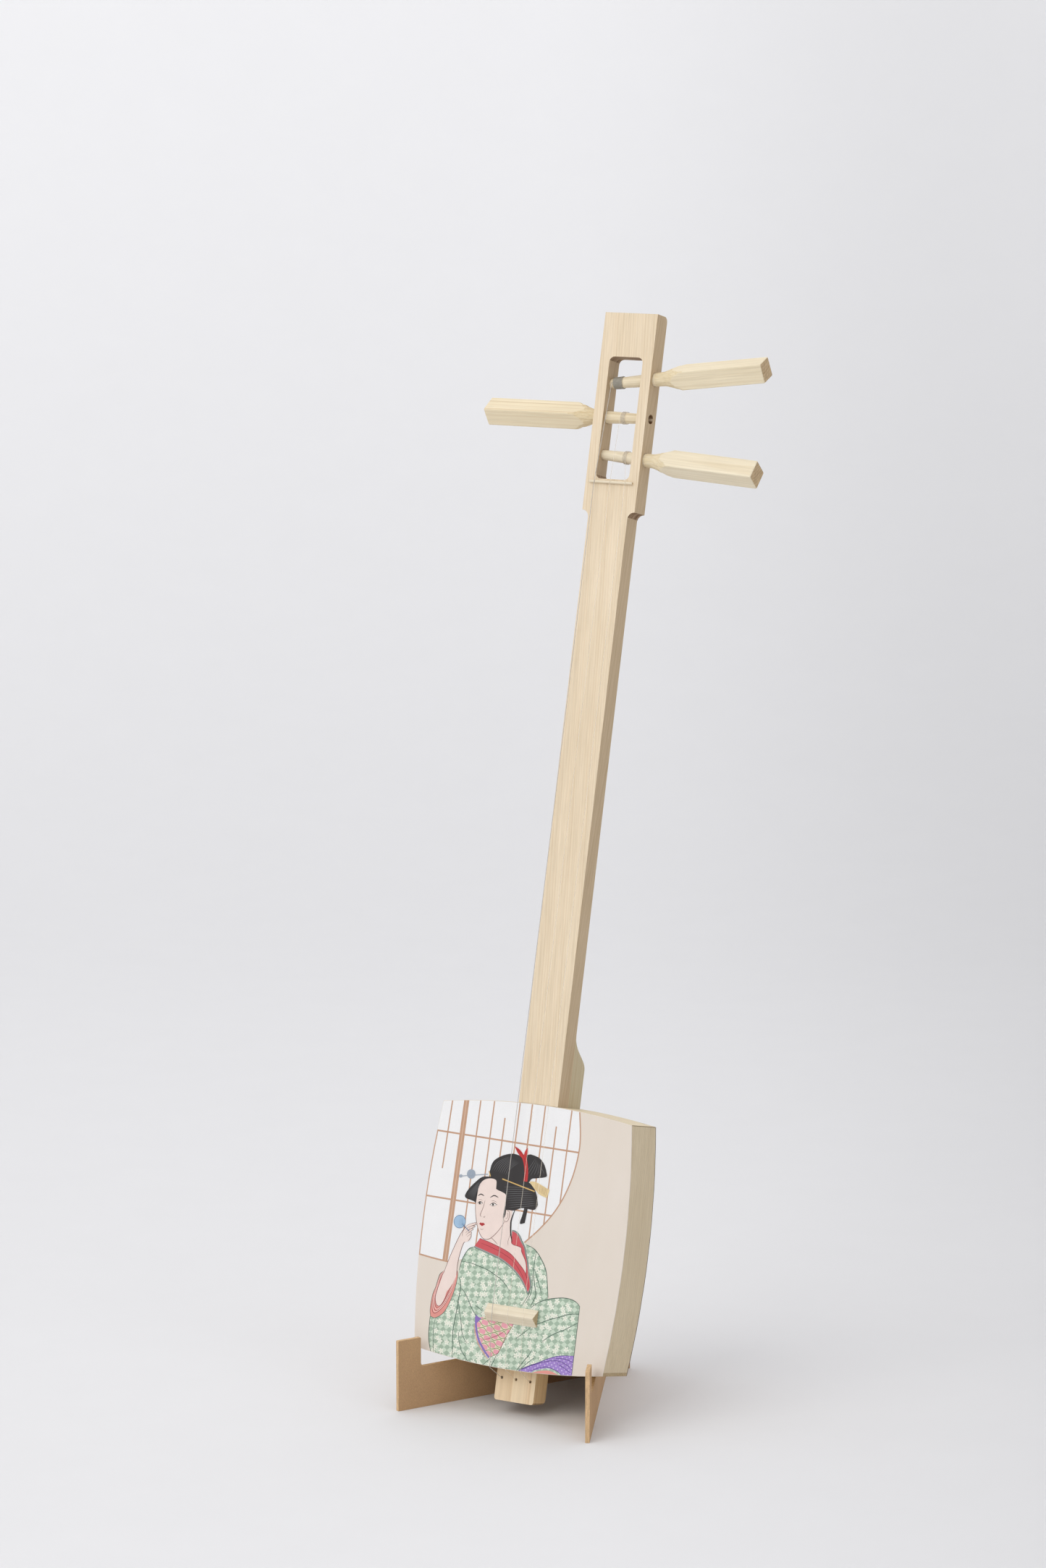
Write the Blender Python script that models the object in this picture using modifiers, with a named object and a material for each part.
"""Small three-string shamisen of pale wood, leaning in a stand of two crossed panels.

Units are metres, +Z is up and the instrument faces -Y.  The origin is where the two
stand panels cross, at floor level.  The instrument is modelled upright in its own
frame (x across, y towards its back, z up the neck, zero in the middle of the body's
front face) and then leans back as one assembly, carried by an empty.
"""

import math

import bmesh
import bpy
from mathutils import Matrix, Vector

MM = 0.001
GAP = 0.3 * MM                    # room left between pieces that touch

# Overall
LEAN = math.radians(13.4)         # backward lean of the instrument in its stand
TOTAL_LENGTH = 620 * MM           # head to tail
INSTRUMENT_Y = -94.5 * MM         # middle of the body's front, from the stand's crossing
INSTRUMENT_Z = 102 * MM

# Body: four bowed boards and two skins
BODY_WIDTH = 123 * MM             # between corners
BODY_HEIGHT = 140.6 * MM
BODY_DEPTH = 27.6 * MM            # the boards alone
BOARD_BOW = 4.7 * MM              # how far each board swells beyond its corners
BOARD_THICKNESS = 9 * MM
SKIN_THICKNESS = 0.3 * MM
CORNER_LIP = 1.8 * MM             # the bottom board runs out under the side boards
SKIN_INSET = 0.1 * MM

# Neck and head: one board
NECK_WIDTH = 25.5 * MM
NECK_THICKNESS = 11.8 * MM
HEAD_WIDTH = 34 * MM
HEAD_TOP = 526.4 * MM
SHOULDER_Z = 413 * MM
SHOULDER_RADIUS = 4.2 * MM
WINDOW_WIDTH = 21.6 * MM
WINDOW_BOTTOM = 431.2 * MM
WINDOW_TOP = 501.2 * MM
WINDOW_RADIUS = 3.2 * MM
HEAD_BACK_RADIUS = 3 * MM

# Heel, tenon and tail: one block behind the neck and through the body
BLOCK_BACK = 25.8 * MM            # its back face, behind the neck's front face
RAMP_TOP = 116 * MM
RAMP_BOTTOM = 97 * MM
TAIL_END = HEAD_TOP - TOTAL_LENGTH
TAIL_CORNER_RADIUS = 1.6 * MM
TAIL_BACK_RADIUS = 3 * MM
TAIL_HOLE_Z = -80.8 * MM
TAIL_HOLE_XS = (-9.3 * MM, 0, 9.3 * MM)
TAIL_HOLE_RADIUS = 0.8 * MM

# Pegs.  u runs along a peg from the head's middle towards its handle.
PEG_SIDES = 24
PEG_RADIUS = 3.2 * MM             # at u = 0
PEG_TAPER = 0.038                 # radius gained per unit of u
PEG_CLEARANCE = 0.15 * MM
HANDLE_SIDE = 11.5 * MM
HANDLE_DRAFT = 8.8 * MM           # turned radius that leaves the handle's corners whole
# name: side of the handle, height, slope of the axis, roll, tip u, cone start u, end u
PEGS = {
    "peg_upper": (1, 487.7 * MM, math.radians(6.95), math.radians(33), -16 * MM, 23.5 * MM, 87.5 * MM),
    "peg_middle": (-1, 467.1 * MM, 0.0, math.radians(45), -14.2 * MM, 18.5 * MM, 88.7 * MM),
    "peg_lower": (1, 444.8 * MM, math.radians(-3.7), math.radians(-28), -16 * MM, 22.5 * MM, 88.9 * MM),
}
CONE_LENGTH = 14.5 * MM

# Nut, bridge and strings
NUT_RADIUS = 0.8 * MM
NUT_LENGTH = 28 * MM
NUT_Z = 429.3 * MM
BRIDGE_LENGTH = 33 * MM
BRIDGE_BASE = 10 * MM
BRIDGE_HEIGHT = 5 * MM
BRIDGE_END_BEVEL = 0.6 * MM
BRIDGE_Z = -44.4 * MM
KNOT_RADIUS = 1.2 * MM
# name: radius, x on the body, x at the winding, peg, winding's near and far x
STRINGS = {
    "string_1": (0.38 * MM, -10.3 * MM, -8.8 * MM, "peg_upper", -9.0 * MM, -2.6 * MM),
    "string_2": (0.28 * MM, -0.1 * MM, -0.6 * MM, "peg_middle", -1.0 * MM, 2.4 * MM),
    "string_3": (0.28 * MM, 9.8 * MM, 6.0 * MM, "peg_lower", 3.2 * MM, 6.4 * MM),
}

# Stand: two panels crossing near their rear ends.  s runs along a panel from its front.
PANEL_THICKNESS = 2.5 * MM
PANEL_LENGTH = 160 * MM
PANEL_CROSSING = 143 * MM         # s of the crossing
PANEL_SPREAD = math.radians(25.7) # each panel's turn away from the Y axis
HORN_WIDTH = 15.2 * MM
HORN_HEIGHT = 41 * MM
NOTCH_HEIGHT = 24.1 * MM
UPRIGHT_HEIGHT = 150 * MM
UPRIGHT_TOP_WIDTH = 17 * MM
PANEL_REAR_HEIGHT = 36 * MM
CROSS_SLOT_WIDTH = 5.6 * MM
CROSS_SLOT_MEET = 28 * MM         # height at which the two half slots meet

COLOURS = {
    "neck_wood": (0.76, 0.62, 0.42),
    "block_wood": (0.70, 0.55, 0.33),
    "body_wood": (0.62, 0.50, 0.32),
    "peg_wood": (0.80, 0.70, 0.47),
    "skin_paper": (0.78, 0.71, 0.62),
    "string_grey": (0.40, 0.40, 0.38),
    "string_clear": (0.72, 0.70, 0.64),
    "fibreboard": (0.32, 0.22, 0.12),
}


# ---------------------------------------------------------------- flat outlines

def arc_between(start, end, bow, steps=16):
    """Points of a circular arc from start to end that swells by bow to its left."""
    start, end = Vector(start), Vector(end)
    chord = end - start
    half = chord.length / 2
    left = Vector((-chord.y, chord.x)).normalized()
    radius = (half * half + bow * bow) / (2 * abs(bow))
    side = math.copysign(1, bow)
    centre = (start + end) / 2 + left * side * (abs(bow) - radius)
    half_angle = math.asin(half / radius)
    points = []
    for i in range(steps + 1):
        angle = half_angle * (2 * i / steps - 1)
        points.append(centre + left * side * radius * math.cos(angle)
                      + chord.normalized() * radius * math.sin(angle))
    return points


def rounded(corners, steps=5):
    """Outline through (x, y, radius) corners, each with a radius turned into an arc."""
    outline = []
    for i, (x, y, radius) in enumerate(corners):
        here = Vector((x, y))
        if not radius:
            outline.append(here)
            continue
        before = (Vector(corners[i - 1][:2]) - here).normalized()
        after = (Vector(corners[(i + 1) % len(corners)][:2]) - here).normalized()
        half = before.angle(after) / 2
        reach = radius / math.tan(half)
        centre = here + (before + after).normalized() * radius / math.sin(half)
        first, last = here + before * reach - centre, here + after * reach - centre
        turn = first.angle_signed(last)
        for k in range(steps + 1):
            angle = -turn * k / steps
            outline.append(centre + Matrix.Rotation(angle, 2) @ first)
    return outline


# ---------------------------------------------------------------- object helpers

def link(obj, collection, parent=None):
    collection.objects.link(obj)
    obj.parent = parent
    return obj


def plate(name, outlines, thickness, collection, parent=None):
    """Flat solid from 2D outlines (the first is the edge, the rest are holes).

    The outline's x and y become the object's x and z; its thickness runs along y,
    centred on zero.
    """
    curve = bpy.data.curves.new(name, "CURVE")
    curve.dimensions = "2D"
    curve.fill_mode = "BOTH"
    curve.extrude = thickness / 2
    for outline in outlines:
        spline = curve.splines.new("POLY")
        spline.points.add(len(outline) - 1)
        for point, (x, y) in zip(spline.points, outline):
            point.co = (x, y, 0, 1)
        spline.use_cyclic_u = True
    drawn = link(bpy.data.objects.new(name + "_outline", curve), bpy.context.scene.collection)
    bpy.context.view_layer.update()
    depsgraph = bpy.context.evaluated_depsgraph_get()
    mesh = bpy.data.meshes.new_from_object(drawn.evaluated_get(depsgraph))
    bpy.data.objects.remove(drawn)
    solid = bmesh.new()
    solid.from_mesh(mesh)
    bmesh.ops.remove_doubles(solid, verts=solid.verts, dist=0.005 * MM)
    bmesh.ops.recalc_face_normals(solid, faces=solid.faces)
    bmesh.ops.rotate(solid, verts=solid.verts, matrix=Matrix.Rotation(math.pi / 2, 3, "X"))
    solid.to_mesh(mesh)
    solid.free()
    mesh.name = name
    return link(bpy.data.objects.new(name, mesh), collection, parent)


def primitive(name, build, collection, parent=None):
    """Object whose mesh is filled by build(bmesh)."""
    mesh = bpy.data.meshes.new(name)
    solid = bmesh.new()
    build(solid)
    solid.to_mesh(mesh)
    solid.free()
    return link(bpy.data.objects.new(name, mesh), collection, parent)


def box(name, low, high, collection, parent=None):
    low, high = Vector(low), Vector(high)
    size = high - low

    def build(solid):
        place = Matrix.Translation((low + high) / 2) @ Matrix.Diagonal((*size, 1))
        bmesh.ops.create_cube(solid, size=1, matrix=place)
    return primitive(name, build, collection, parent)


def cone(name, radius_bottom, radius_top, bottom, top, sides, collection, parent=None):
    """Closed cone or cylinder along the object's z, from bottom to top."""
    def build(solid):
        bmesh.ops.create_cone(solid, cap_ends=True, segments=sides, radius1=radius_bottom,
                              radius2=radius_top, depth=top - bottom,
                              matrix=Matrix.Translation((0, 0, (bottom + top) / 2)))
    return primitive(name, build, collection, parent)


def turned(name, profile, sides, collection, parent=None, closed=False):
    """Solid turned about z from (radius, z) points given down the outer side."""
    mesh = bpy.data.meshes.new(name)
    count = len(profile)
    edges = [(i, i + 1) for i in range(count - 1)] + ([(count - 1, 0)] if closed else [])
    mesh.from_pydata([(r, 0, z) for r, z in profile], edges, [])
    obj = link(bpy.data.objects.new(name, mesh), collection, parent)
    screw = obj.modifiers.new("Turn", "SCREW")
    screw.axis = "Z"
    screw.steps = screw.render_steps = sides
    screw.use_merge_vertices = True
    screw.merge_threshold = 0.005 * MM
    screw.use_smooth_shade = False
    return obj


def tube(name, points, collection, parent=None, sides=2):
    """Round wire through (x, y, z, radius) points."""
    curve = bpy.data.curves.new(name, "CURVE")
    curve.dimensions = "3D"
    curve.bevel_depth = 1
    curve.bevel_resolution = sides
    curve.use_fill_caps = True
    spline = curve.splines.new("POLY")
    spline.points.add(len(points) - 1)
    for point, (x, y, z, radius) in zip(spline.points, points):
        point.co = (x, y, z, 1)
        point.radius = radius
    return link(bpy.data.objects.new(name, curve), collection, parent)


def cut(target, cutter, operation="DIFFERENCE"):
    boolean = target.modifiers.new(cutter.name, "BOOLEAN")
    boolean.object = cutter
    boolean.operation = operation
    boolean.solver = "EXACT"
    cutter.hide_render = True
    cutter.display_type = "WIRE"


# ---------------------------------------------------------------- body

def body_edge(inset=0.0, steps=16):
    """Outer outline of the body, seen from the front, anticlockwise."""
    x, z = BODY_WIDTH / 2 - inset, BODY_HEIGHT / 2 - inset
    corners = [(-x, -z), (x, -z), (x, z), (-x, z)]
    outline = []
    for i, corner in enumerate(corners):
        outline += arc_between(corner, corners[(i + 1) % 4], -BOARD_BOW, steps)[:-1]
    return outline


def body_board(name, up, scene):
    """Top (up = 1) or bottom (up = -1) board, mitred into the side boards."""
    x, z = BODY_WIDTH / 2, up * BODY_HEIGHT / 2
    lip = CORNER_LIP if up < 0 else 0
    inner_x = x - BOARD_THICKNESS
    inner_z = z - up * BOARD_THICKNESS
    outer = arc_between((-x + (0 if lip else GAP), z), (x - (0 if lip else GAP), z), up * BOARD_BOW)
    inner = arc_between((inner_x - GAP, inner_z), (-inner_x + GAP, inner_z), -up * BOARD_BOW)
    ends = ([Vector((x, z + lip))], [Vector((-x, z + lip))]) if lip else ([], [])
    board = plate(name, [outer + ends[0] + inner + ends[1]], BODY_DEPTH, scene["parts"], scene["lean"])
    board.location.y = BODY_DEPTH / 2
    low_z, high_z = sorted((z - up * 2 * BOARD_THICKNESS, z + up * 2 * BOARD_BOW))
    mortise = box("mortise_" + name, (-NECK_WIDTH / 2 - GAP, NECK_THICKNESS, low_z),
                  (NECK_WIDTH / 2 + GAP, BLOCK_BACK + GAP, high_z), scene["cutters"], scene["lean"])
    cut(board, mortise)
    return board


def side_board(name, side, scene):
    """Left (side = -1) or right (side = 1) board."""
    x, top = side * BODY_WIDTH / 2, BODY_HEIGHT / 2
    inner_x, inner_z = side * (BODY_WIDTH / 2 - BOARD_THICKNESS), top - BOARD_THICKNESS
    bottom = -top + CORNER_LIP + GAP
    outer = arc_between((x, bottom), (x, top - GAP), -side * BOARD_BOW)
    inner = arc_between((inner_x, inner_z - GAP), (inner_x, -inner_z + GAP), side * BOARD_BOW)
    board = plate(name, [outer + inner], BODY_DEPTH, scene["parts"], scene["lean"])
    board.location.y = BODY_DEPTH / 2
    return board


def skin(name, y_middle, scene):
    sheet = plate(name, [body_edge(SKIN_INSET)], SKIN_THICKNESS, scene["parts"], scene["lean"])
    sheet.location.y = y_middle
    return sheet


# ---------------------------------------------------------------- neck and block

def neck_board(scene):
    """Neck and head from one board, with the peg box cut through as a window."""
    half, head = NECK_WIDTH / 2, HEAD_WIDTH / 2
    # The foot follows the top board's bow, with the usual gap
    foot_z = BODY_HEIGHT / 2 + BOARD_BOW + GAP
    bow_radius = (BODY_WIDTH ** 2 / 4 + BOARD_BOW ** 2) / (2 * BOARD_BOW)
    sag = half * half / (2 * bow_radius)
    base = arc_between((-half, foot_z - sag), (half, foot_z - sag), sag, 6)
    # Each shoulder is a quarter ellipse from the head's side in to the neck's edge
    right = []
    for k in range(7):
        angle = math.pi / 2 * k / 6
        right.append(Vector((head - (head - half) * math.sin(angle),
                             SHOULDER_Z - SHOULDER_RADIUS * (1 - math.cos(angle)))))
    left = [Vector((-p.x, p.y)) for p in right]
    edge = base + right[::-1] + [Vector((head, HEAD_TOP)), Vector((-head, HEAD_TOP))] + left
    w = WINDOW_WIDTH / 2
    window = rounded([(-w, WINDOW_BOTTOM, WINDOW_RADIUS), (w, WINDOW_BOTTOM, WINDOW_RADIUS),
                      (w, WINDOW_TOP, WINDOW_RADIUS), (-w, WINDOW_TOP, WINDOW_RADIUS)])
    neck = plate("neck_board", [edge, window], NECK_THICKNESS, scene["parts"], scene["lean"])
    neck.location.y = NECK_THICKNESS / 2

    # Side view of the head, its upper back corner rounded off
    trim = plate("head_side_view", [rounded([
        (-1 * MM, 0, 0), (NECK_THICKNESS, 0, 0), (NECK_THICKNESS, HEAD_TOP, HEAD_BACK_RADIUS),
        (-1 * MM, HEAD_TOP, 0)])], 2 * HEAD_WIDTH, scene["cutters"], scene["lean"])
    trim.rotation_euler.z = math.pi / 2
    cut(neck, trim, "INTERSECT")
    for name, peg in PEGS.items():
        cut(neck, peg_hole(name, peg, scene))
    return neck


def heel_block(scene):
    """Heel behind the neck, tenon through the body and tail below it, in one piece."""
    front, back = NECK_THICKNESS + GAP, BLOCK_BACK
    ramp = [Vector((front + (back - front) * (1 - math.cos(math.pi * k / 10)) / 2,
                    RAMP_TOP + (RAMP_BOTTOM - RAMP_TOP) * (k / 10) ** 0.8)) for k in range(1, 11)]
    side = [Vector((front, RAMP_TOP))] + ramp + rounded([
        (back, TAIL_END + 0.4 * MM, TAIL_BACK_RADIUS), (front, TAIL_END, 0),
        (front, RAMP_TOP, 0)])[:-1]
    block = plate("heel_block", [side], NECK_WIDTH, scene["parts"], scene["lean"])
    block.rotation_euler.z = math.pi / 2
    half = NECK_WIDTH / 2
    trim = plate("tail_front_view", [rounded([
        (-half, RAMP_TOP + 5 * MM, 0), (-half, TAIL_END, TAIL_CORNER_RADIUS),
        (0, TAIL_END - 0.5 * MM, 0), (half, TAIL_END, TAIL_CORNER_RADIUS),
        (half, RAMP_TOP + 5 * MM, 0)])], 4 * BLOCK_BACK, scene["cutters"], scene["lean"])
    cut(block, trim, "INTERSECT")
    for i, x in enumerate(TAIL_HOLE_XS):
        hole = cone(f"tail_hole_{i + 1}", TAIL_HOLE_RADIUS, TAIL_HOLE_RADIUS, -2 * BLOCK_BACK, 0,
                    10, scene["cutters"], scene["lean"])
        hole.rotation_euler.x = math.pi / 2
        hole.location = (x, 0, TAIL_HOLE_Z)
        cut(block, hole)
    return block


# ---------------------------------------------------------------- pegs

def peg_radius(u):
    return PEG_RADIUS + PEG_TAPER * u


def place_on_peg_axis(obj, side, height, slope):
    """Turn the object's z onto the peg's axis, its zero in the head's middle."""
    obj.location = (0, NECK_THICKNESS / 2, height)
    obj.rotation_euler = (0, side * math.pi / 2 - slope, 0)


def peg_hole(name, peg, scene):
    side, height, slope, *_ = peg
    reach = HEAD_WIDTH
    hole = cone("hole_" + name, peg_radius(-reach) + PEG_CLEARANCE, peg_radius(reach) + PEG_CLEARANCE,
                -reach, reach, PEG_SIDES, scene["cutters"], scene["lean"])
    place_on_peg_axis(hole, side, height, slope)
    return hole


def make_peg(name, peg, scene):
    """Square bar whittled down to a tapered round shaft."""
    side, height, slope, roll, tip, cone_start, end = peg
    profile = [(0, end), (HANDLE_DRAFT, end), (HANDLE_DRAFT, cone_start + CONE_LENGTH),
               (peg_radius(cone_start), cone_start), (peg_radius(tip), tip), (0, tip)]
    shaft = turned(name, profile, PEG_SIDES, scene["parts"], scene["lean"])
    place_on_peg_axis(shaft, side, height, slope)
    half = HANDLE_SIDE / 2
    bar = box("bar_" + name, (-half, -half, tip - 5 * MM), (half, half, end + 5 * MM),
              scene["cutters"], shaft)
    bar.rotation_euler.z = roll
    cut(shaft, bar, "INTERSECT")
    return shaft


def string_winding(name, string, scene):
    """The turns of a string round its peg, as one sleeve."""
    radius, _, _, peg_name, x_near, x_far = string
    side, height, slope, *_ = PEGS[peg_name]
    u_low, u_high = sorted((side * x_near, side * x_far))
    inner = [(peg_radius(u) + GAP, u) for u in (u_low, u_high)]
    outer = [(peg_radius(u) + GAP + 2 * radius, u) for u in (u_high, u_low)]
    sleeve = turned("winding_" + name[-1], outer + inner, PEG_SIDES, scene["parts"], scene["lean"],
                    closed=True)
    place_on_peg_axis(sleeve, side, height, slope)
    return sleeve


# ---------------------------------------------------------------- nut, bridge, strings

def make_nut(scene):
    nut = cone("nut", NUT_RADIUS, NUT_RADIUS, -NUT_LENGTH / 2, NUT_LENGTH / 2, 12,
               scene["parts"], scene["lean"])
    nut.rotation_euler.y = math.pi / 2
    nut.location = (0, -NUT_RADIUS - GAP, NUT_Z)
    return nut


def make_bridge(scene):
    """Three-sided bar lying on the front skin, its ridge under the strings."""
    half, length = BRIDGE_BASE / 2, BRIDGE_LENGTH / 2
    bar = plate("bridge", [[(0, -half), (0, half), (-BRIDGE_HEIGHT, 0)]], BRIDGE_LENGTH,
                scene["parts"], scene["lean"])
    bar.rotation_euler.z = math.pi / 2
    trim = plate("bridge_ends", [[(-length, 0), (length, 0), (length - BRIDGE_END_BEVEL, -BRIDGE_HEIGHT),
                                  (-length + BRIDGE_END_BEVEL, -BRIDGE_HEIGHT)]],
                 2 * BRIDGE_BASE, scene["cutters"], scene["lean"])
    trim.rotation_euler.x = -math.pi / 2
    for obj in (bar, trim):
        obj.location = (0, skin_front() - GAP, BRIDGE_Z)
    cut(bar, trim, "INTERSECT")
    return bar


def skin_front():
    return -GAP - SKIN_THICKNESS


def make_string(name, string, scene):
    """String from its knot behind the tail, over bridge and nut, to its peg's winding."""
    radius, x, x_end, peg_name, *_ = string
    hole_x = min(TAIL_HOLE_XS, key=lambda hole: abs(hole - x))
    side, height, slope, *_ = PEGS[peg_name]
    axis_z = height + x_end * math.tan(slope) * side
    winding_radius = peg_radius(side * x_end) + GAP + 2 * radius
    bridge_y = skin_front() - GAP - BRIDGE_HEIGHT - GAP - radius
    nut_y = -2 * NUT_RADIUS - 2 * GAP - radius
    edge_z = -BODY_HEIGHT / 2 - BOARD_BOW
    knot_y = BLOCK_BACK + GAP + KNOT_RADIUS
    route = [
        (hole_x, knot_y + KNOT_RADIUS, TAIL_HOLE_Z, 0.4 * KNOT_RADIUS),
        (hole_x, knot_y + 0.5 * KNOT_RADIUS, TAIL_HOLE_Z, KNOT_RADIUS),
        (hole_x, knot_y - 0.5 * KNOT_RADIUS, TAIL_HOLE_Z, KNOT_RADIUS),
        (hole_x, knot_y - KNOT_RADIUS, TAIL_HOLE_Z, radius),
        (hole_x, NECK_THICKNESS - 0.5 * MM, TAIL_HOLE_Z, radius),
        (hole_x, NECK_THICKNESS - 2.5 * MM, TAIL_HOLE_Z + 0.6 * MM, radius),
        (x, 1 * MM, edge_z - 1.6 * MM, radius),
        (x, skin_front() - 0.6 * MM, edge_z - 0.7 * MM, radius),
        (x, skin_front() - 1.2 * MM, edge_z + 1 * MM, radius),
        (x, bridge_y, BRIDGE_Z, radius),
        (x, nut_y, NUT_Z, radius),
        (x_end, NECK_THICKNESS / 2 - winding_radius - GAP - radius, axis_z, radius),
    ]
    return tube(name, route, scene["parts"], scene["lean"])


# ---------------------------------------------------------------- stand

def panel_outline():
    """One stand panel: horn, notch for the body's lower edge, upright and rear foot."""
    def upright_s(z):
        """s at which the panel meets the instrument's back at height z."""
        clearance = BODY_DEPTH + SKIN_THICKNESS + 2 * GAP + PANEL_THICKNESS / 2 * math.sin(PANEL_SPREAD)
        y = (clearance + (z - INSTRUMENT_Z) * math.sin(LEAN)) / math.cos(LEAN) + INSTRUMENT_Y
        return PANEL_CROSSING + y / math.cos(PANEL_SPREAD)

    top = upright_s(UPRIGHT_HEIGHT)
    corners = [
        (0, 0, 0), (PANEL_LENGTH, 0, 0), (PANEL_LENGTH, PANEL_REAR_HEIGHT, 6 * MM),
        (top + UPRIGHT_TOP_WIDTH, UPRIGHT_HEIGHT, 5 * MM), (top, UPRIGHT_HEIGHT, 3 * MM),
        (upright_s(NOTCH_HEIGHT), NOTCH_HEIGHT, 1.5 * MM),
        (HORN_WIDTH, NOTCH_HEIGHT, 2.2 * MM), (HORN_WIDTH, HORN_HEIGHT, 0.6 * MM),
        (0, HORN_HEIGHT, 0.6 * MM)]
    return [Vector((p.x - PANEL_CROSSING, p.y)) for p in rounded(corners)]


def stand_panel(name, side, scene):
    """Left (side = -1) or right (side = 1) panel; the left one carries the upper slot."""
    panel = plate(name, [panel_outline()], PANEL_THICKNESS, scene["parts"])
    panel.rotation_euler.z = math.pi / 2 + side * PANEL_SPREAD
    half = CROSS_SLOT_WIDTH / 2
    low, high = (CROSS_SLOT_MEET, UPRIGHT_HEIGHT) if side < 0 else (-5 * MM, CROSS_SLOT_MEET + 2 * GAP)
    slot = box("slot_" + name, (-half, -PANEL_THICKNESS, low), (half, PANEL_THICKNESS, high),
               scene["cutters"], panel)
    cut(panel, slot)
    return panel


# ---------------------------------------------------------------- assembly

def material(name):
    mat = bpy.data.materials.new(name)
    mat.use_nodes = True
    shader = mat.node_tree.nodes["Principled BSDF"]
    shader.inputs["Base Color"].default_value = (*COLOURS[name], 1)
    shader.inputs["Roughness"].default_value = 0.35 if name == "string_clear" else 0.65
    return mat


def main():
    for obj in list(bpy.data.objects):
        bpy.data.objects.remove(obj)
    parts = bpy.data.collections.new("shamisen")
    cutters = bpy.data.collections.new("cutters")
    for collection in (parts, cutters):
        bpy.context.scene.collection.children.link(collection)
    lean = link(bpy.data.objects.new("instrument_frame", None), parts)
    lean.location = (0, INSTRUMENT_Y, INSTRUMENT_Z)
    lean.rotation_euler.x = -LEAN
    scene = {"parts": parts, "cutters": cutters, "lean": lean}

    made = {
        "neck_wood": [neck_board(scene)],
        "block_wood": [heel_block(scene)],
        "body_wood": [body_board("body_top_board", 1, scene), body_board("body_bottom_board", -1, scene),
                      side_board("body_left_board", -1, scene),
                      side_board("body_right_board", 1, scene)],
        "skin_paper": [skin("front_skin", -GAP - SKIN_THICKNESS / 2, scene),
                       skin("back_skin", BODY_DEPTH + GAP + SKIN_THICKNESS / 2, scene)],
        "peg_wood": [make_peg(name, peg, scene) for name, peg in PEGS.items()]
                    + [make_nut(scene), make_bridge(scene)],
        "string_grey": [make_string("string_1", STRINGS["string_1"], scene),
                        string_winding("string_1", STRINGS["string_1"], scene)],
        "string_clear": [make(name, STRINGS[name], scene) for name in ("string_2", "string_3")
                         for make in (make_string, string_winding)],
        "fibreboard": [stand_panel("stand_left_panel", -1, scene),
                       stand_panel("stand_right_panel", 1, scene)],
    }
    for name, objects in made.items():
        mat = material(name)
        for obj in objects:
            obj.data.materials.clear()
            obj.data.materials.append(mat)


main()
